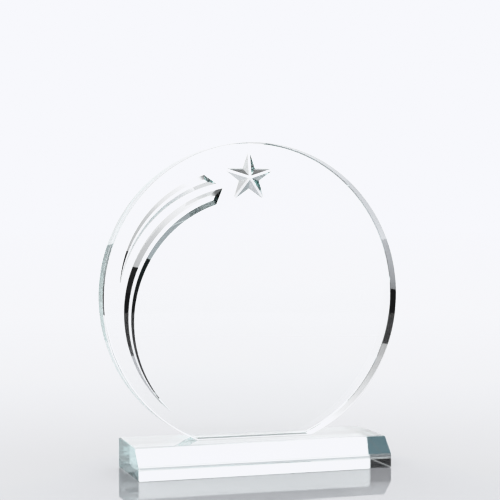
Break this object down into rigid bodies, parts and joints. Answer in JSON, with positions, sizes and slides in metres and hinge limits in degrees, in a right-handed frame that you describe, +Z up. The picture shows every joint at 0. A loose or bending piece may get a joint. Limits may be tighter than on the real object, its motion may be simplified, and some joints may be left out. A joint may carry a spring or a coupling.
{
  "type": "star trophy",
  "caption": "Clear round award plate carved from behind with a star and curved comet tails, bonded upright on a clear bar base with a sloped front edge.",
  "frame": {"origin": "middle of the footprint, on the surface the trophy stands on", "axes": "+Z up, -Y is the front that the viewer faces, +X to the viewer's right"},
  "size_m": [0.1778, 0.05, 0.1884],
  "materials": {
    "plate_crystal": "optically clear, flame-polished faces and edges, faint blue-green tint along long paths",
    "plinth_crystal": "optically clear, polished on every face, faint blue-green tint along long paths",
    "bond": "cured clear adhesive with a few tiny trapped bubbles"
  },
  "bodies": {
    "root": {"star_plate": "plate_crystal", "plinth_bar": "plinth_crystal", "adhesive_film": "bond"}
  },
  "joints": []
}
